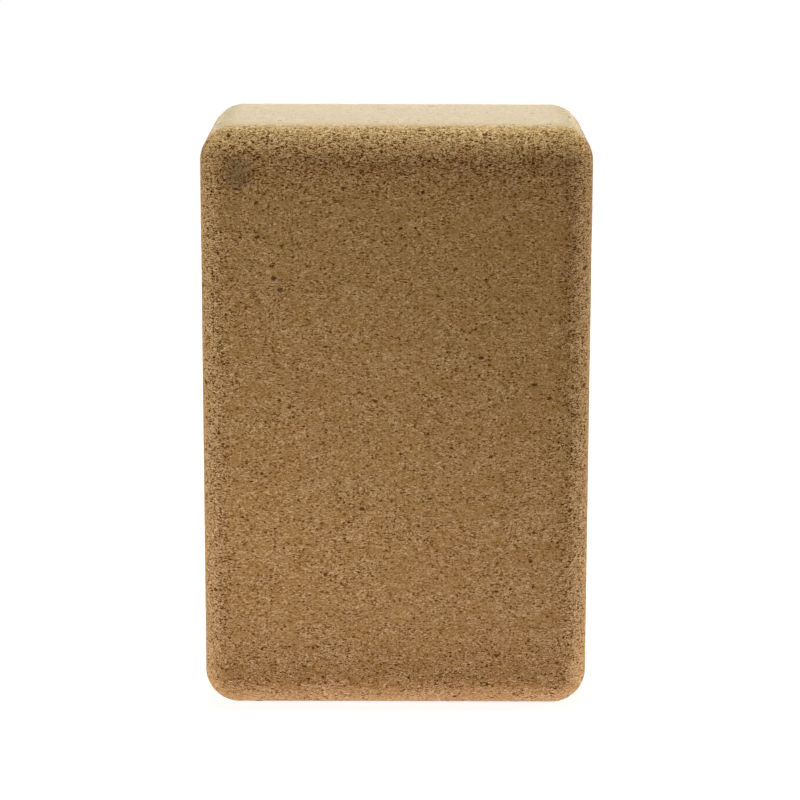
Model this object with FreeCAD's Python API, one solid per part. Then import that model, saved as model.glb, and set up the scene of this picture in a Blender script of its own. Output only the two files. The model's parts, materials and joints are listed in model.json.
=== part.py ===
"""A yoga block of agglomerated cork, standing on its short end.

The block is pressed from fine cork granules and a binder, sawn to size, rounded along every edge
and sanded. It is one bonded piece with no fasteners and nothing that moves. The granules that are
large enough to be told apart are solids of their own here: each sits in a pocket of the pressed
body that has its exact shape, and its outer face is sanded flush with the block.

Millimetres. +Z is up, the broad front face looks along -Y, and the origin is the middle of the base.
"""

import FreeCAD, Part
import itertools
import math
import os
import random

# The pressed block
BLOCK_WIDTH = 151.0  # along X, the shorter side of the broad face
BLOCK_THICKNESS = 101.0  # along Y, from the front face to the back
BLOCK_HEIGHT = 230.0  # along Z, the longer side of the broad face
EDGE_RADIUS = 13.5  # the rounding routed along all twelve edges

# The granules that show singly, one to each cell of an even grid laid over the block
GRANULE_PITCH = 25.0  # least size of a cell
GRANULE_LENGTH = 2.4  # at the face, along the layers of the pressed cork
GRANULE_HEIGHT = 1.5  # at the face, across the layers
GRANULE_DEPTH = 2.0  # from the face into the block
GRANULE_VARIATION = 0.3  # share by which a granule may be smaller or larger than these
GRANULE_SPACING = 0.8  # least cork between a granule and the border of its cell
GRANULE_TAPER = 0.55  # size of a granule's buried end beside its size at the face
GRANULE_CORNERS = 6  # corners of a granule's outline
CORNER_DRIFT = 0.22  # how far a corner strays along the outline, in shares of a side
CORNER_DENT = 0.28  # how far a corner may lie inside the outline, in shares of its distance
GRANULE_TILT = 25.0  # most that a granule's length leans from the layers, in degrees
SANDING_ALLOWANCE = 1.0  # what stands out of the block before it is sanded flush
EDGE_SPREAD = 50.0  # the middle part of an edge's rounding that holds granules, in degrees
GRANULE_SEED = 4  # picks one scatter of the granules out of many

# The three grades of granule, and the order in which they are mixed into the scatter
BARK = "dark_bark_granules"
AMBER = "amber_cork_granules"
PALE = "pale_cork_granules"
MIXTURE = (BARK, AMBER, BARK, PALE, BARK, AMBER, PALE)

SIZE = (BLOCK_WIDTH, BLOCK_THICKNESS, BLOCK_HEIGHT)
FLAT = [side - 2 * EDGE_RADIUS for side in SIZE]  # what the rounding leaves of each side
AXES = (FreeCAD.Vector(1, 0, 0), FreeCAD.Vector(0, 1, 0), FreeCAD.Vector(0, 0, 1))
UP = AXES[2]
MIDDLE = UP * (BLOCK_HEIGHT / 2)
LARGEST = 1 + GRANULE_VARIATION
MARGIN = GRANULE_LENGTH * LARGEST / 2 + GRANULE_SPACING  # from a cell's border to a granule's middle


def rounded_block():
    """The sawn block with all its edges rounded."""
    corner = FreeCAD.Vector(-BLOCK_WIDTH / 2, -BLOCK_THICKNESS / 2, 0)
    sawn = Part.makeBox(*SIZE, corner)
    return sawn.makeFillet(EDGE_RADIUS, sawn.Edges)


def cells(length):
    """The size of the cells along a line, and their middles, measured from the middle of the line."""
    count = max(1, int(length // GRANULE_PITCH))
    size = length / count
    return size, [(number + 0.5) * size - length / 2 for number in range(count)]


def stray(size, dice):
    """How far a granule lies from the middle of a cell of this size."""
    return dice.uniform(-1, 1) * (size / 2 - MARGIN)


def face_spots(dice):
    """Where granules lie on the six flat faces: (point, outward normal, direction of the layers)."""
    for axis in range(3):
        along, across = [a for a in range(3) if a != axis]
        column_size, columns = cells(FLAT[along])
        row_size, rows = cells(FLAT[across])
        for side in (-1, 1):
            normal = AXES[axis] * side
            face = MIDDLE + normal * (SIZE[axis] / 2)
            for row in rows:
                for column in columns:
                    step = AXES[along] * (column + stray(column_size, dice))
                    rise = AXES[across] * (row + stray(row_size, dice))
                    yield face + step + rise, normal, AXES[along]


def edge_spots(dice):
    """Where granules lie on the twelve rounded edges, in the same form."""
    for axis in range(3):
        first, second = [a for a in range(3) if a != axis]
        size, middles = cells(FLAT[axis])
        for first_side in (-1, 1):
            for second_side in (-1, 1):
                core = MIDDLE + AXES[first] * (first_side * FLAT[first] / 2)
                core += AXES[second] * (second_side * FLAT[second] / 2)
                for middle in middles:
                    lean = math.radians(45 + dice.uniform(-0.5, 0.5) * EDGE_SPREAD)
                    normal = AXES[first] * (first_side * math.cos(lean))
                    normal += AXES[second] * (second_side * math.sin(lean))
                    step = AXES[axis] * (middle + stray(size, dice))
                    layers = UP.cross(normal) if axis == 2 else AXES[axis]
                    yield core + step + normal * EDGE_RADIUS, normal, layers


def varied(size, dice):
    """A granule's own size, near the usual one."""
    return size * dice.uniform(1 - GRANULE_VARIATION, LARGEST)


def outline(dice):
    """The corners of a granule's uneven outline at the face, about its middle."""
    length = varied(GRANULE_LENGTH, dice)
    height = varied(GRANULE_HEIGHT, dice)
    corners = []
    for number in range(GRANULE_CORNERS):
        turn = 2 * math.pi * (number + dice.uniform(-CORNER_DRIFT, CORNER_DRIFT)) / GRANULE_CORNERS
        reach = dice.uniform(1 - CORNER_DENT, 1) / 2
        corners.append((reach * length * math.cos(turn), reach * height * math.sin(turn)))
    return corners


def granule(point, normal, layers, dice):
    """One granule before sanding: a stub that narrows from outside the face to its buried end."""
    corners = outline(dice)
    depth = varied(GRANULE_DEPTH, dice)
    flare = 1 + (1 - GRANULE_TAPER) * SANDING_ALLOWANCE / depth
    ends = []
    for height, scale in ((SANDING_ALLOWANCE, flare), (-depth, GRANULE_TAPER)):
        ring = [FreeCAD.Vector(x * scale, y * scale, height) for x, y in corners]
        ends.append(Part.makePolygon(ring + ring[:1]))
    stub = Part.makeLoft(ends, True, True)
    lean = FreeCAD.Rotation(UP, dice.uniform(-GRANULE_TILT, GRANULE_TILT))
    seat = FreeCAD.Rotation(layers, normal.cross(layers), normal, "ZXY")
    stub.Placement = FreeCAD.Placement(point, seat.multiply(lean))
    return stub


def unsanded_granules():
    """Every granule, sorted by grade."""
    dice = random.Random(GRANULE_SEED)
    spots = [*face_spots(dice), *edge_spots(dice)]
    granules = {grade: [] for grade in MIXTURE}
    for grade, (point, normal, layers) in zip(itertools.cycle(MIXTURE), spots):
        granules[grade].append(granule(point, normal, layers, dice))
    return granules


def export(shape, node):
    """Writes one node and says what is in it."""
    shape.exportStep(os.path.join("parts", node + ".step"))
    print(f"{node}: {len(shape.Solids)} solids, {shape.Volume / 1000:.3f} cm3, valid {shape.isValid()}")


def main():
    os.makedirs("parts", exist_ok=True)
    block = rounded_block()
    granules = unsanded_granules()
    body = block.cut([stub for stubs in granules.values() for stub in stubs])
    export(body.Solids[0], "pressed_cork_body")
    for grade, stubs in granules.items():
        sanded = block.common(Part.makeCompound(stubs))
        export(Part.makeCompound(sanded.Solids), grade)


main()
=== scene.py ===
# %% [markdown]
# # A cork yoga block
#
# The block is pressed from fine cork granules, sawn, rounded along every edge and sanded. It is one
# bonded piece, so nearly all of its looks are in the surface: granules under a millimetre across in a few
# shades of brown, short dark pores between them, and a rougher, more open grain where the edges were
# routed. The frame comes first, because every piece is placed from it.

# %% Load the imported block
import json
import math

import bmesh
import bpy
from mathutils import Color, Matrix, Vector, noise

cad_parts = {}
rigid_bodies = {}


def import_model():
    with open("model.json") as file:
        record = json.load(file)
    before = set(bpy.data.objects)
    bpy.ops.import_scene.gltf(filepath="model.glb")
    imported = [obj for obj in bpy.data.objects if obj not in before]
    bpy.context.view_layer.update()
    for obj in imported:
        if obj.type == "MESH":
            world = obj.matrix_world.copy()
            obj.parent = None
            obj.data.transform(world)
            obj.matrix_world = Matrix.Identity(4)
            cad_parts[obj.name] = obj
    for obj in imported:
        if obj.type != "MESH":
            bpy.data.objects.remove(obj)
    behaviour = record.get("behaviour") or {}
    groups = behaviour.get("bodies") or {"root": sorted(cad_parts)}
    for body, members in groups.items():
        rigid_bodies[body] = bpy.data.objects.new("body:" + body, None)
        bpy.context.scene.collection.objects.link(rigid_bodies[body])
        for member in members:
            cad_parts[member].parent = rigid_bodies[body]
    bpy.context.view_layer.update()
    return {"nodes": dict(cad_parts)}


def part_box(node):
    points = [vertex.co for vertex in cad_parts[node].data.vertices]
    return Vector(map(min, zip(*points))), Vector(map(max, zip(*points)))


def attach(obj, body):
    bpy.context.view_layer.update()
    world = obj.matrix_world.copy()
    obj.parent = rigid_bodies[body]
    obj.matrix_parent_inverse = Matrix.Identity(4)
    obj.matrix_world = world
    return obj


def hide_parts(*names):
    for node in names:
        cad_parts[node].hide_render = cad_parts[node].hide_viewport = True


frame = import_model()
LOW, HIGH = (Vector(corner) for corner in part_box("pressed_cork_body"))
MIDDLE = (LOW + HIGH) / 2
HALF = (HIGH - LOW) / 2
MM = 0.001
EDGE_RADIUS = 13.5 * MM
CORE = HALF - Vector((EDGE_RADIUS,) * 3)
print("block", [round(side / MM, 1) for side in HIGH - LOW], "mm")

# %% [markdown]
# ## Shader maths as Python
#
# A node tree is quicker to read as a formula than as a list of links. This small class wraps one output
# socket, and an operator on it adds a Math node. Every other node comes from its one `node` method. The
# trial at the end shows how many nodes a short formula makes.


# %% A socket that can be reckoned with
class Flow:
    """An output socket of a node tree. Operators on it add Math nodes."""

    def __init__(self, tree, socket=None):
        self.tree = tree
        self.socket = socket

    def node(self, kind, settings=None, inputs=None, output=0):
        """Adds a node with these settings and socket values or links, and returns one of its outputs."""
        made = self.tree.nodes.new(kind)
        for name, value in (settings or {}).items():
            if name == "stops":
                self.spread(made.color_ramp.elements, value)
            else:
                setattr(made, name, value)
        for key, value in (inputs or {}).items():
            if isinstance(value, Flow):
                self.tree.links.new(value.socket, made.inputs[key])
            else:
                made.inputs[key].default_value = value
        return Flow(self.tree, made.outputs[output] if made.outputs else None)

    @staticmethod
    def spread(stops, colours):
        """Spreads these colours evenly over a colour ramp."""
        stops.remove(stops[1])
        for number, colour in enumerate(colours):
            stop = stops.new(number / (len(colours) - 1)) if number else stops[0]
            stop.color = colour

    def other(self, output):
        """Another output of the node that this one comes from."""
        return Flow(self.tree, self.socket.node.outputs[output])

    def maths(self, operation, first, second):
        return self.node("ShaderNodeMath", {"operation": operation}, {0: first, 1: second})

    def __add__(self, other):
        return self.maths("ADD", self, other)

    def __sub__(self, other):
        return self.maths("SUBTRACT", self, other)

    def __rsub__(self, other):
        return self.maths("SUBTRACT", other, self)

    def __mul__(self, other):
        return self.maths("MULTIPLY", self, other)

    def __abs__(self):
        return self.node("ShaderNodeMath", {"operation": "ABSOLUTE"}, {0: self})

    __radd__ = __add__
    __rmul__ = __mul__

    def step(self, start, end, low=0.0, high=1.0):
        """A smooth step from low to high while this value goes from start to end."""
        settings = {"interpolation_type": "SMOOTHSTEP"}
        ends = {"From Min": start, "From Max": end, "To Min": low, "To Max": high}
        return self.node("ShaderNodeMapRange", settings, {"Value": self, **ends})

    def mix(self, first, second):
        """Mixes two colours by this value."""
        return self.node("ShaderNodeMix", {"data_type": "RGBA"}, {0: self, 6: first, 7: second}, 2)


trial = bpy.data.node_groups.new("trial", "ShaderNodeTree")
formula = 1 - 2 * Flow(trial).node("ShaderNodeValue")
print("1 - 2 * value makes", len(trial.nodes), "nodes and ends with", formula.socket.node.operation)
bpy.data.node_groups.remove(trial)

# %% [markdown]
# ## The grain of pressed cork
#
# The granules were flattened along the block's height in the press, so all patterns are squeezed along Z.
# The cells of a Voronoi texture are the granules: each cell has a number of its own, which picks its
# shade. Noise alone would give soft clouds, without the sharp borders that granules have. Sizes are in
# millimetres.


# %% Granules
PRESSED = 1.9
LARGE_GRANULE = 1.9
GRANULE = 0.75
FINE_GRANULE = 0.31


def block_place(flow):
    return flow.node("ShaderNodeTexCoord", output="Object")


def granule_space(flow):
    """Millimetres along X and Y, and pressed millimetres along Z."""
    scale = (1 / MM, 1 / MM, PRESSED / MM)
    return flow.node("ShaderNodeMapping", None, {"Vector": block_place(flow), "Scale": scale})


def granule_shade(flow, space, size):
    """One number from 0 to 1 for each granule of about this size."""
    colour = flow.node("ShaderNodeTexVoronoi", None, {"Vector": space, "Scale": 1 / size}, "Color")
    return flow.node("ShaderNodeSeparateColor", None, {0: colour})


def seam_distance(flow, space, size):
    """How far the nearest seam between two such granules is."""
    inputs = {"Vector": space, "Scale": 1 / size}
    return size * flow.node("ShaderNodeTexVoronoi", {"feature": "DISTANCE_TO_EDGE"}, inputs)


print("granules", GRANULE, "mm wide and", round(GRANULE / PRESSED, 2), "mm high")

# %% [markdown]
# ## Clouds and ragged borders
#
# Pressed cork isn't even: it has lighter and darker patches, and many granules are torn rather than cut.
# Soft noise makes the patches. Added to the place at which another texture is read, noise also bends the
# straight borders of that texture, so nothing has to be carved for it.


# %% Clouds
MEAN = 0.5
CLOUD_DETAIL = 2.0
CLOUD_ROUGHNESS = 0.55


def cloud(flow, space, size):
    """Soft noise about the mean, with lumps of about this size."""
    inputs = {"Vector": space, "Scale": 1 / size, "Detail": CLOUD_DETAIL, "Roughness": CLOUD_ROUGHNESS}
    return flow.node("ShaderNodeTexNoise", None, inputs)


def bent(flow, space, size, reach):
    """The same space, pushed about by noise of this size, so that what lies in it is ragged."""
    push = flow.node("ShaderNodeTexNoise", None, {"Vector": space, "Scale": 1 / size}, "Color")
    centred = flow.node("ShaderNodeVectorMath", {"operation": "SUBTRACT"}, {0: push, 1: (MEAN, MEAN, MEAN)})
    scaled = flow.node("ShaderNodeVectorMath", {"operation": "SCALE"}, {0: centred, "Scale": reach})
    return flow.node("ShaderNodeVectorMath", None, {0: space, 1: scaled})


print("clouds with", CLOUD_DETAIL, "finer layers, each", CLOUD_ROUGHNESS, "as strong as the one before")

# %% [markdown]
# ## Dark pores
#
# Short dark gaps are left between the granules, and some granules have broken out and left flat holes.
# Lines along every seam would look like a net, so a cloud opens the seams only here and there. The holes
# are the middles of some cells of a larger Voronoi texture, flattened and bent, and torn grain has more
# of them.


# %% Pores and pits
OPEN_CLOUD = 1.3
OPEN_SEAMS = (0.585, 0.65)
PORE_REACH = (0.18, 0.03)
PIT = 1.8
PIT_BEND = (1.6, 1.5)
PIT_FLATTENED = (1.0, 1.0, 1.6)
PIT_REACH = (0.5, 0.16)
PIT_SHARE = 0.2
MORE_WHERE_TORN = 0.3
FULLY_DARK = 0.4
DARKNESS = 0.84


def pores(flow, space, seam):
    """Short dashes along the seams between granules, where a cloud opens them."""
    return seam.step(*PORE_REACH) * cloud(flow, space, OPEN_CLOUD).step(*OPEN_SEAMS)


def pits(flow, space, share):
    """Flat ragged holes in the middle of some cells. The share says in how many of them."""
    inputs = {"Vector": bent(flow, space, *PIT_BEND), "Scale": PIT_FLATTENED}
    flat = flow.node("ShaderNodeMapping", None, inputs)
    middle = flow.node("ShaderNodeTexVoronoi", None, {"Vector": flat, "Scale": 1 / PIT})
    number = flow.node("ShaderNodeSeparateColor", None, {0: middle.other("Color")})
    return middle.step(*PIT_REACH) * number.step(1 - share, 1 - FULLY_DARK * share)


def dark_gaps(flow, space, seam, torn):
    """Pores and pits together, with more pits where this mask says that the grain is torn."""
    share = PIT_SHARE + MORE_WHERE_TORN * torn
    return DARKNESS * flow.maths("MAXIMUM", pores(flow, space, seam), pits(flow, space, share))


print(f"pits in up to {PIT_SHARE:.0%} of the cells, and {PIT_SHARE + MORE_WHERE_TORN:.0%} where torn")

# %% [markdown]
# ## Where the block was routed and sanded, and where light is painted on
#
# A router tears cork more than a sanding belt does, so the grain is open along the rounded edges and some
# way below the top one. Towards the base that stronger grain fades out, and the fade is painted light and
# shade for a lamp that rakes the upper edges and not the lower one. The outer part of each rounding is
# painted paler, a painted highlight where the lamps light it, and the two ends are sanded the finest.
# Painted masks would need a picture, so each mask here comes from the place on the block alone.


# %% Masks from the place on the block
TORN_START = Vector((1.0, 1.0, -18.0)) * MM
TORN_FULL = 0.6 * EDGE_RADIUS
# The torn grain fades out towards the base. That fade is painted light and shade, standing for a top lamp
# that rakes only the upper edges.
PAINTED_RAKE_HEIGHT = (8 * MM, 40 * MM)
# Painted light: the outer part of every rounding is made paler, as a painted highlight where the lamps light
# it.
PAINTED_LIGHT_START = Vector((0.35, -0.6, 0.1)) * EDGE_RADIUS
PAINTED_LIGHT_FULL = 0.65 * EDGE_RADIUS
END_FRONT = (14 * MM - CORE[1], -12 * MM - CORE[1])
END_BACK = (CORE[1] + 2 * MM, CORE[1] + 5 * MM)
END_RISE = (HALF[2] - 7 * MM, HALF[2] - 3 * MM)


def along(flow, axis):
    """Where a point lies along this axis."""
    return flow.node("ShaderNodeSeparateXYZ", None, {0: block_place(flow)}, axis)


def distances(flow):
    """How far a point lies from the block's middle along each axis."""
    return [abs(along(flow, axis) - middle) for axis, middle in zip("XYZ", MIDDLE)]


def near_edges(flow, start, full):
    """0 to 1 between these distances from the borders of the rounding, outwards, for all twelve edges."""
    x, y, z = [far.step(core + begin, core + full) for far, core, begin in zip(distances(flow), CORE, start)]
    return 1 - (1 - x * y) * (1 - y * z) * (1 - x * z)


def sanded_end(flow):
    """1 on the flat of the two ends, fading to 0 slowly at the front and fast at the back."""
    depth = along(flow, "Y")
    between = (1 - depth.step(*END_FRONT)) * (1 - depth.step(*END_BACK))
    return between * distances(flow)[2].step(*END_RISE)


print("the rounding starts", [round(side / MM, 1) for side in CORE], "mm from the middle")

# %% [markdown]
# ## Shades and finishes
#
# The shades run from dark bark to clean pale granules. They are written as they show on a screen, and
# mathutils turns them into amounts of light. Cork hardly mirrors anything, so the finish is matt. Only
# the finely sanded ends shine faintly at a low angle. A much paler colour there would look bleached from
# above, so a thin coat gives most of that shine, and a slight pale tint on the ends is painted sheen.


# %% Shades, a matt finish and a faint shine
SCREEN_WHITE = 255
SHADES = ((74, 32, 0), (121, 79, 17), (163, 124, 69), (194, 159, 107), (226, 194, 147))
MATT_ROUGHNESS = 0.75
MATT_SPECULAR = 0.04
SHINE = 0.34
SHINE_ROUGHNESS = 0.3
SIDE_LOSS = 0.7
SIDE_FADE = (CORE[0] - 2 * MM, CORE[0] + 7 * MM)


def linear(shade):
    """A colour written as on a screen, 0 to 255, for a shader."""
    colour = Color([part / SCREEN_WHITE for part in shade])
    return (*colour.from_srgb_to_scene_linear(), 1.0)


def matt(material, colour, height, depth):
    """Puts a colour and a bump on a shader and makes it matt. A full step of the height is this deep."""
    tree = material.node_tree
    shader = tree.nodes["Principled BSDF"]
    bump = colour.node("ShaderNodeBump", None, {"Height": height, "Distance": depth, "Strength": 1.0})
    tree.links.new(colour.socket, shader.inputs["Base Color"])
    tree.links.new(bump.socket, shader.inputs["Normal"])
    shader.inputs["Roughness"].default_value = MATT_ROUGHNESS
    shader.inputs["Specular IOR Level"].default_value = MATT_SPECULAR
    return shader


def burnished(shader, end):
    """A faint shine where this mask says that the end was sanded fine, less of it towards the sides."""
    side = distances(end)[0].step(*SIDE_FADE)
    shine = SHINE * end * (1 - SIDE_LOSS * side)
    shader.inputs["Coat Roughness"].default_value = SHINE_ROUGHNESS
    end.tree.links.new(shine.socket, shader.inputs["Coat Weight"])


print("light in each shade", [[round(part, 2) for part in linear(shade)[:3]] for shade in SHADES])

# %% [markdown]
# ## Scraps of bark and stains
#
# A few larger scraps and stains can be told apart on the front, and one pale spot is a painted highlight
# beside a dark one. They have no thickness, so they are spots in the colour and not solids. Each has a
# place and a size in millimetres, a shade and a strength. A clean circle would look printed on, so noise
# makes the border ragged.

# %% Marks on the front
BARK = (64, 40, 22)
RUSTY = (98, 63, 39)
STAIN = (96, 87, 63)
# The shade of a clean pale granule. In the mark just right of and below the bark spot at (36.8, 102.9), it
# is a painted highlight.
CLEAN_AND_HIGHLIGHT = (205, 174, 130)
MARKS = (
    ((-60.3, 212.8), (5.0, 6.5), STAIN, 0.38),
    ((-62.5, 201.0), (3.0, 4.0), STAIN, 0.14),
    ((-57.7, 209.9), (0.8, 0.6), BARK, 0.75),
    ((-46.9, 172.8), (1.1, 0.9), BARK, 0.9),
    ((-49.0, 175.2), (1.0, 0.9), CLEAN_AND_HIGHLIGHT, 0.9),
    ((-44.5, 168.5), (1.1, 0.8), BARK, 0.8),
    ((-54.8, 167.5), (1.2, 1.4), RUSTY, 0.5),
    ((-53.0, 164.3), (1.2, 0.7), RUSTY, 0.55),
    ((-20.1, 207.7), (1.1, 0.6), BARK, 0.7),
    ((-22.2, 202.5), (0.9, 0.7), RUSTY, 0.75),
    ((9.9, 206.1), (0.7, 0.7), BARK, 0.95),
    ((32.6, 142.0), (1.1, 0.7), BARK, 0.9),
    ((53.3, 131.5), (1.2, 0.6), BARK, 0.9),
    ((36.8, 102.9), (0.9, 0.7), BARK, 0.8),
    # Painted highlight at the lower right of the dark spot above.
    ((37.9, 102.1), (0.7, 0.6), CLEAN_AND_HIGHLIGHT, 0.8),
    ((-13.2, 82.0), (1.1, 0.7), BARK, 0.85),
    ((-64.0, 227.0), (0.7, 0.8), BARK, 0.9),
)
RAGGED_SIZE = 0.7
RAGGED_REACH = 0.9
MARK_BORDER = (1.25, 0.7)


def marked(flow, colour):
    """Lays the marks over this colour, on the front half of the block alone."""
    front = along(flow, "Y").step(0.0, -CORE[1])
    ragged = RAGGED_REACH * (cloud(flow, granule_space(flow), RAGGED_SIZE) - MEAN)
    for (x, z), (width, height), shade, strength in MARKS:
        scale = Vector((1 / width, 0, 1 / height)) / MM
        shift = Vector((-x / width, 0, -z / height))
        inputs = {"Vector": block_place(flow), "Location": shift, "Scale": scale}
        spot = flow.node("ShaderNodeMapping", None, inputs)
        away = ragged + flow.node("ShaderNodeVectorMath", {"operation": "LENGTH"}, {0: spot}, "Value")
        colour = (front * away.step(*MARK_BORDER, 0.0, strength)).mix(colour, linear(shade))
    return colour


print(len(MARKS), "marks on the front")

# %% [markdown]
# ## The tone of the cork
#
# The tone is one number per point, from bark at 0 to the palest granule at 1. It starts from a middle
# tone, to which the granules, the pores and the slow patches are added. Textures that pick colours
# directly would be simpler, but a number is easily made stronger where the cork is torn and calmer where
# it is sanded.


# %% Tone
MID_TONE = 0.61
GRANULE_TONE = 0.2
FINE_TONE = 0.6
LARGE_TONE = 0.1
LARGE_BEND = (2.0, 1.2)
SPECKS = (0.9, 0.95)
SPECK_TONE = 0.27
PATCH_SIZE = 9.0
PATCH_TONE = 0.12
PATCH_CONTRAST = (0.36, 0.64, 0.78, 1.44)
TORN_CONTRAST = 2.3
END_CALM = 0.65
# Painted light: how much paler the outer part of a rounding is painted.
PAINTED_LIGHT_TONE = 0.15
EDGE_TONE = -0.06
END_TONE = -0.07


def grain_contrast(patches, torn, end):
    """How strong the grain is: uneven on the flats, strongest where torn, weakest on the ends."""
    uneven = patches.step(*PATCH_CONTRAST)
    return (uneven + (TORN_CONTRAST - uneven) * torn) * (1 - END_CALM * end)


def cork_tone(flow, space, granules, dark, masks):
    """The tone from the two sizes of granule, the dark gaps and the masks."""
    coarse, fine = granules
    edge, torn, end = masks
    # The paler outer rounding is painted light, a painted highlight.
    painted_light = near_edges(flow, PAINTED_LIGHT_START, PAINTED_LIGHT_FULL)
    patches = cloud(flow, space, PATCH_SIZE)
    large = granule_shade(flow, bent(flow, space, *LARGE_BEND), LARGE_GRANULE)
    granular = GRANULE_TONE * (coarse - MEAN) + FINE_TONE * (fine - MEAN)
    grain = granular + SPECK_TONE * coarse.step(*SPECKS) - dark
    blotches = LARGE_TONE * (large - MEAN) + PATCH_TONE * (patches - MEAN)
    places = MID_TONE + PAINTED_LIGHT_TONE * painted_light + EDGE_TONE * edge + END_TONE * end
    return places + grain_contrast(patches, torn, end) * grain + blotches


# The paler tone of the rounding is painted light.
print("middle tone", MID_TONE, "and on a rubbed rounding", round(MID_TONE + PAINTED_LIGHT_TONE + EDGE_TONE, 2))

# %% [markdown]
# ## The cork of the body
#
# The ramp of shades turns the tone into a colour, and a few patches are warmer. The ends get a paler tint,
# which is painted sheen for their shine at a low angle. The same granules and gaps also raise and sink the
# surface through a bump, because they are too fine to be modelled one by one. The bump is deeper where the
# grain is torn and nearly flat on the ends.


# %% The finish of the body
WARM_SIZE = 6.0
WARM_PATCHES = (0.42, 0.66, 0.0, 0.14)
WARM_SHADE = (172, 119, 71)
# Painted sheen: a pale tint mixed into the colour of the ends, for their shine at a low angle.
PAINTED_SHEEN_SHARE = 0.18
PAINTED_SHEEN_SHADE = (172, 205, 181)
SEAM_SLOPE = (0.0, 0.3)
SEAM_RISE = 0.5
GRANULE_RISE = 0.3
FINE_RISE = 0.25
GAP_SINK = 0.8
MEAN_RISE = 0.55
FLAT_ROUGHNESS = 0.5
END_SMOOTHED = 0.85
GRAIN_DEPTH = 0.12 * MM


def cork_height(seam, granules, dark, torn, end):
    """How far granules stand out and gaps sink in, as a share of the grain's depth."""
    coarse, fine = granules
    height = SEAM_RISE * seam.step(*SEAM_SLOPE) + GRANULE_RISE * coarse + FINE_RISE * fine
    rough = (FLAT_ROUGHNESS + (1 - FLAT_ROUGHNESS) * torn) * (1 - END_SMOOTHED * end)
    return (height - GAP_SINK * dark - MEAN_RISE) * rough


def cork(name):
    """Fine-grain agglomerated cork: matt, mid brown, with dark pores and pale grains."""
    material = bpy.data.materials.new(name)
    material.use_nodes = True
    flow = Flow(material.node_tree)
    space = granule_space(flow)
    edge = near_edges(flow, TORN_START, TORN_FULL)
    # Torn grain is real along the routed edges. Its fade towards the base is painted raking light and shade.
    torn = edge * along(flow, "Z").step(*PAINTED_RAKE_HEIGHT)
    end = sanded_end(flow)
    granules = [granule_shade(flow, space, size) for size in (GRANULE, FINE_GRANULE)]
    seam = seam_distance(flow, space, GRANULE)
    dark = dark_gaps(flow, space, seam, torn)
    tone = cork_tone(flow, space, granules, dark, (edge, torn, end))
    ramp = flow.node("ShaderNodeValToRGB", {"stops": [linear(shade) for shade in SHADES]}, {0: tone})
    colour = cloud(flow, space, WARM_SIZE).step(*WARM_PATCHES).mix(ramp, linear(WARM_SHADE))
    # The paler tint on the ends is painted sheen.
    colour = marked(flow, (PAINTED_SHEEN_SHARE * end).mix(colour, linear(PAINTED_SHEEN_SHADE)))
    height = cork_height(seam, granules, dark, torn, end)
    burnished(matt(material, colour, height, GRAIN_DEPTH), end)
    return material


body_cork = cork("fine_grain_cork")
print("the cork has", len(body_cork.node_tree.nodes), "nodes")

# %% [markdown]
# ## A grid for the body
#
# A box with a bevel would give the form, but its flat faces would be single quads with nothing to carve.
# So a cube is cut at the borders of the rounding and then into cells: fine ones where an edge is rounded,
# wider ones on the flats. An edge of the cut cube that is about as long as the radius belongs to a
# rounding.


# %% A box cut into cells
FLAT_CELL = 1.22 * MM
EDGE_CELL = 1.0 * MM
AXES = (Vector((1, 0, 0)), Vector((0, 1, 0)), Vector((0, 0, 1)))
SHORTEST_EDGE = 0.5 * EDGE_RADIUS
LONGEST_EDGE = 1.5 * EDGE_RADIUS
HALF_ARC = EDGE_RADIUS * math.pi / 4


def gridded_box():
    """A box of the block's size, cut into cells about its own middle."""
    mesh = bmesh.new()
    bmesh.ops.create_cube(mesh, size=1.0)
    bmesh.ops.scale(mesh, vec=2 * HALF, verts=mesh.verts)
    for axis, direction in enumerate(AXES):
        for border in (-CORE[axis], CORE[axis]):
            everything = mesh.verts[:] + mesh.edges[:] + mesh.faces[:]
            bmesh.ops.bisect_plane(mesh, geom=everything, plane_co=direction * border, plane_no=direction)
    for axis in range(len(AXES)):
        spans = {edge: abs((edge.verts[0].co - edge.verts[1].co)[axis]) for edge in mesh.edges}
        at_edge = [edge for edge, span in spans.items() if SHORTEST_EDGE < span < LONGEST_EDGE]
        on_flat = [edge for edge, span in spans.items() if span >= LONGEST_EDGE]
        for edges, length, cell in ((at_edge, HALF_ARC, EDGE_CELL), (on_flat, 2 * CORE[axis], FLAT_CELL)):
            cuts = round(length / cell) - 1
            bmesh.ops.subdivide_edges(mesh, edges=edges, cuts=cuts, use_grid_fill=True)
    return mesh


print("cells from border to border", [round(2 * side / FLAT_CELL) for side in CORE])

# %% [markdown]
# ## The relief of the body
#
# Up close the surface isn't smooth: it sinks a little between larger granules, deeper along the routed
# edges, and the sanding belt left a slow wave. A displacement texture could do this too. Here each point
# of the grid is drawn in to the rounding by a formula, which makes it plain that the surface only ever
# sinks.


# %% The rounded body
RELIEF_GRANULE = 2.3
RELIEF_SEAM = 0.4
WAVE_LENGTH = 38.0
LEAST_SINK = 0.03 * MM
WAVE_SINK = 0.04 * MM
SEAM_SINK = 0.04 * MM
TORN_SINK = 0.16 * MM
MOST_OPEN = 0.7


def relief(place, openness):
    """How far the surface lies below the sawn size: seams between granules and a slow wave from sanding."""
    spot = Vector((place.x, place.y, place.z * PRESSED)) / MM
    near, next_near = noise.voronoi(spot / RELIEF_GRANULE)[0][:2]
    seam = 1 - min(1.0, (next_near - near) / RELIEF_SEAM)
    wave = (1 + noise.noise(spot / WAVE_LENGTH)) / 2
    return LEAST_SINK + WAVE_SINK * wave + (SEAM_SINK + TORN_SINK * openness) * seam


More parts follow.
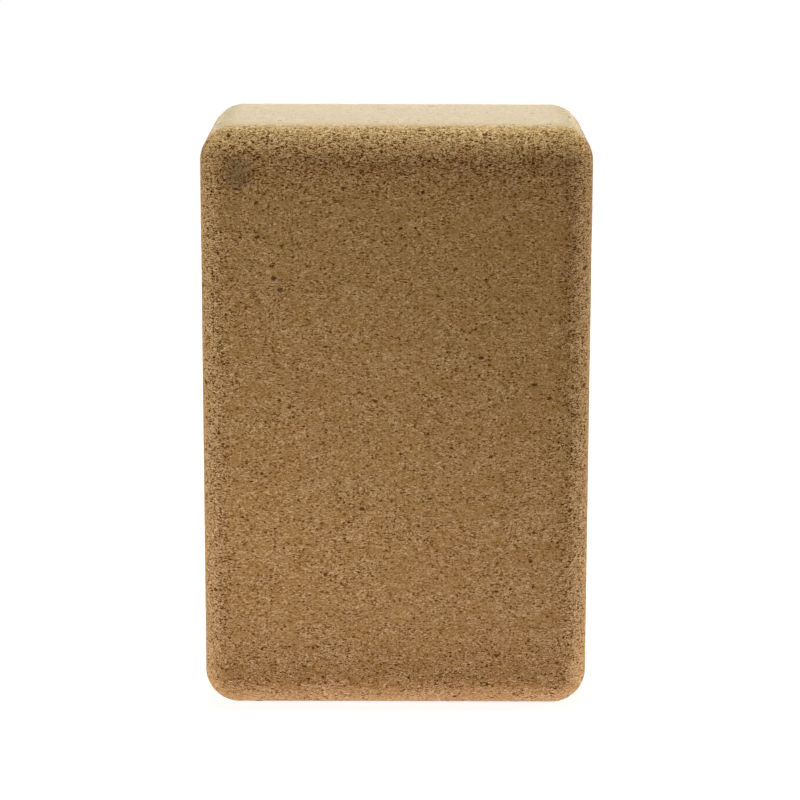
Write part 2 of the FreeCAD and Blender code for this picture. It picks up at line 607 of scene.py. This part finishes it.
def body_mesh():
    """The grid, drawn in to the rounding and sunk by the relief."""
    mesh = gridded_box()
    for point in mesh.verts:
        inner = Vector(max(-core, min(core, value)) for value, core in zip(point.co, CORE))
        share = (point.co - inner) / EDGE_RADIUS
        outward = Vector(math.tan(part * math.pi / 4) for part in share).normalized()
        openness = (1 - max(abs(part) for part in outward)) / (1 - MOST_OPEN)
        place = MIDDLE + inner + outward * EDGE_RADIUS
        point.co = place - outward * relief(place, max(0.0, min(1.0, openness)))
    for face in mesh.faces:
        face.smooth = True
    data = bpy.data.meshes.new("cork_body")
    mesh.to_mesh(data)
    mesh.free()
    return data


body = bpy.data.objects.new("cork_body", body_mesh())
bpy.context.scene.collection.objects.link(body)
body.data.materials.append(body_cork)
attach(body, "root")
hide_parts("pressed_cork_body")
print("body:", len(body.data.polygons), "faces")

# %% [markdown]
# ## The larger granules
#
# Bits of bark and whole granules show singly here and there. They are solids of the imported block already,
# each in its own pocket, so they only need a finish: two shades, mottled as the fine grain is. On the
# sanded ends they take the shine and most of the pale colour of the cork around them, which is the cork's
# own colour with its painted sheen, or they would stand out as dark dots.


# %% A finish for each grade
MOTTLE_GRANULE = 0.62
MOTTLE_CLOUD = 0.8
GRANULE_SHARE = 0.6
# On the ends the granules are mostly covered by a pale shade: the cork's own colour there, with its painted
# sheen.
SHEEN_COVER = 0.88
SHEEN_GRANULE_SHADE = (160, 138, 100)
MOTTLE_DEPTH = 0.08 * MM
GRADES = {
    "dark_bark_granules": ((74, 46, 21), (122, 85, 46)),
    "amber_cork_granules": ((132, 92, 50), (164, 120, 71)),
    "pale_cork_granules": ((152, 114, 64), (194, 154, 101)),
}


def granule_cork(name, dark, light):
    """One grade of larger granule, mottled between two shades."""
    material = bpy.data.materials.new(name)
    material.use_nodes = True
    flow = Flow(material.node_tree)
    space = granule_space(flow)
    mottle = granule_shade(flow, space, MOTTLE_GRANULE)
    tone = GRANULE_SHARE * mottle + (1 - GRANULE_SHARE) * cloud(flow, space, MOTTLE_CLOUD)
    end = sanded_end(flow)
    # The pale cover on the ends is partly painted sheen.
    colour = (SHEEN_COVER * end).mix(tone.mix(linear(dark), linear(light)), linear(SHEEN_GRANULE_SHADE))
    burnished(matt(material, colour, tone, MOTTLE_DEPTH), end)
    return material


for node, (dark, light) in GRADES.items():
    piece = frame["nodes"][node]
    piece.data.materials.clear()
    piece.data.materials.append(granule_cork(node.replace("granules", "finish"), dark, light))
    print(node, len(piece.data.polygons), "faces")

# %% [markdown]
# ## The floor
#
# The floor has to show white and still hold the block's shadow. A white paint would turn grey where the
# lamps don't reach, so what the camera sees is mostly a glow that nears full white away from the block,
# and a little paint that takes the shadow. All other light meets a pale warm paint, which throws it back
# at the block.


# %% A white floor that takes a shadow
FLOOR_REACH = 6.0
SHADOW_REACH = (0.12, 0.5)
SHADOW_GLOW = 0.9
SHADOW_PAINT = (0.3, 0.3, 0.3, 1)
BOUNCE_PAINT = (0.42, 0.37, 0.345, 1)


def seen_directly(flow):
    """1 for what the camera sees, directly, in a gloss or through glass."""
    camera = flow.node("ShaderNodeLightPath", output="Is Camera Ray")
    reflected = flow.maths("MAXIMUM", camera.other("Is Glossy Ray"), camera.other("Is Transmission Ray"))
    return flow.maths("MAXIMUM", camera, reflected)


def floor_finish():
    """A glow and a little paint for the camera, and a warm paint for all other light."""
    material = bpy.data.materials.new("pale_floor")
    material.use_nodes = True
    material.node_tree.nodes.clear()
    flow = Flow(material.node_tree)
    away = flow.node("ShaderNodeVectorMath", {"operation": "LENGTH"}, {0: block_place(flow)}, "Value")
    paint = flow.node("ShaderNodeBsdfDiffuse", None, {"Color": SHADOW_PAINT})
    glow = flow.node("ShaderNodeEmission", None, {"Strength": away.step(*SHADOW_REACH, SHADOW_GLOW, 1.0)})
    white = flow.node("ShaderNodeAddShader", None, {0: paint, 1: glow})
    bounce = flow.node("ShaderNodeBsdfDiffuse", None, {"Color": BOUNCE_PAINT})
    mixed = flow.node("ShaderNodeMixShader", None, {0: seen_directly(flow), 1: bounce, 2: white})
    flow.node("ShaderNodeOutputMaterial", None, {"Surface": mixed})
    return material


floor_mesh = bmesh.new()
bmesh.ops.create_grid(floor_mesh, x_segments=1, y_segments=1, size=FLOOR_REACH)
floor = bpy.data.objects.new("floor", bpy.data.meshes.new("floor"))
floor_mesh.to_mesh(floor.data)
floor_mesh.free()
bpy.context.scene.collection.objects.link(floor)
floor.data.materials.append(floor_finish())
print("the floor reaches", max(corner.co.x for corner in floor.data.vertices), "m to each side")

# %% [markdown]
# ## The light
#
# A small lamp high above rakes over the rounding below the top and makes its grain stand out, where a
# soft sky would flatten it. A weak one behind it keeps the top pale. Most light on the front comes up
# from a wide lamp lying on the floor, with a weak fill from the left. A second floor lamp, under the
# block, brightens the lower rounding, and low lamps at the left, right and back draw the lighter edges.


# %% Lamps
def softbox(name, place, aim, size, power, colour=(1, 1, 1)):
    """A flat lamp of this size in metres and power in watts, turned to what it lights."""
    lamp = bpy.data.lights.new(name, "AREA")
    lamp.shape = "RECTANGLE"
    lamp.size, lamp.size_y = size
    lamp.energy = power
    lamp.color = colour
    stand = bpy.data.objects.new(name, lamp)
    stand.location = place
    stand.rotation_euler = (Vector(aim) - Vector(place)).to_track_quat("-Z", "Y").to_euler()
    stand.visible_camera = False
    bpy.context.scene.collection.objects.link(stand)


WARM = (1.0, 0.97, 0.92)
GREENISH = (0.97, 1.0, 0.9)
ROSY = (1.0, 0.9, 1.0)
UPPER = (0, 0, 0.2)
CENTRE = (0, 0, 0.12)
softbox("overhead", (0, 0, 1.2), UPPER, size=(0.25, 0.25), power=10.85, colour=GREENISH)
softbox("overhead_back", (0, 0.8, 0.9), UPPER, size=(0.8, 0.5), power=1.5)
softbox("floor_front", (-0.46, -0.62, 4 * MM), (-0.46, -0.62, 1), size=(1.0, 1.0), power=3.42, colour=WARM)
softbox("front_fill", (-0.8, -0.75, 0.4), CENTRE, size=(0.6, 0.6), power=1.15, colour=WARM)
softbox("base_bounce", (0, 0, 0.2 * MM), (0, 0, 1), size=(0.45, 0.45), power=0.63, colour=ROSY)
softbox("left_strip", (-0.7, 0.19, 0.08), (0, 0, 0.1), size=(0.3, 0.1), power=2.05, colour=WARM)
softbox("right_strip", (1.0, 0.16, 0.2), CENTRE, size=(0.4, 0.4), power=6.1, colour=WARM)
softbox("back_fill", (0, 1.2, 0.2), CENTRE, size=(0.8, 0.3), power=5.0)
print("lamps", [lamp.name for lamp in bpy.data.lights])

# %% [markdown]
# ## A white room
#
# Behind the block the picture is plain white. A bright world would light the block from all sides and
# flatten its grain, so the world is white only for the camera and in what mirrors it, and gives no other
# light.

# %% A white world for the camera
world = bpy.data.worlds.new("studio")
bpy.context.scene.world = world
world.use_nodes = True
room = Flow(world.node_tree)
background = world.node_tree.nodes["Background"]
background.inputs["Color"].default_value = (1, 1, 1, 1)
room.tree.links.new(seen_directly(room).socket, background.inputs["Strength"])
print("world", world.name, "with", len(world.node_tree.nodes), "nodes")

# %% [markdown]
# ## The camera
#
# It stands a little above the block and looks down at it by twelve degrees, far enough away that the
# sides stay nearly upright. The focal length is worked out from the size of the block in the picture. The
# Standard view shows colours as they are written.

# %% Camera and view
CAMERA_PLACE = Vector((2.1, -1150.5, 362.1)) * MM
CAMERA_AIM = Vector((1.5, 0.0, 114.5)) * MM
CAMERA_ROLL = math.radians(0.13)
FRAME_WIDTH = 800
FOCAL_PIXELS = 2916
SENSOR_WIDTH = 36.0
camera = bpy.data.cameras.new("camera")
camera.sensor_width = SENSOR_WIDTH
camera.lens = FOCAL_PIXELS * SENSOR_WIDTH / FRAME_WIDTH
holder = bpy.data.objects.new("camera", camera)
turn = (CAMERA_AIM - CAMERA_PLACE).to_track_quat("-Z", "Y").to_matrix().to_4x4()
holder.matrix_world = Matrix.Translation(CAMERA_PLACE) @ turn @ Matrix.Rotation(CAMERA_ROLL, 4, "Z")
bpy.context.scene.collection.objects.link(holder)
bpy.context.scene.camera = holder
bpy.context.scene.view_settings.view_transform = "Standard"
print("lens", round(camera.lens, 1), "mm")
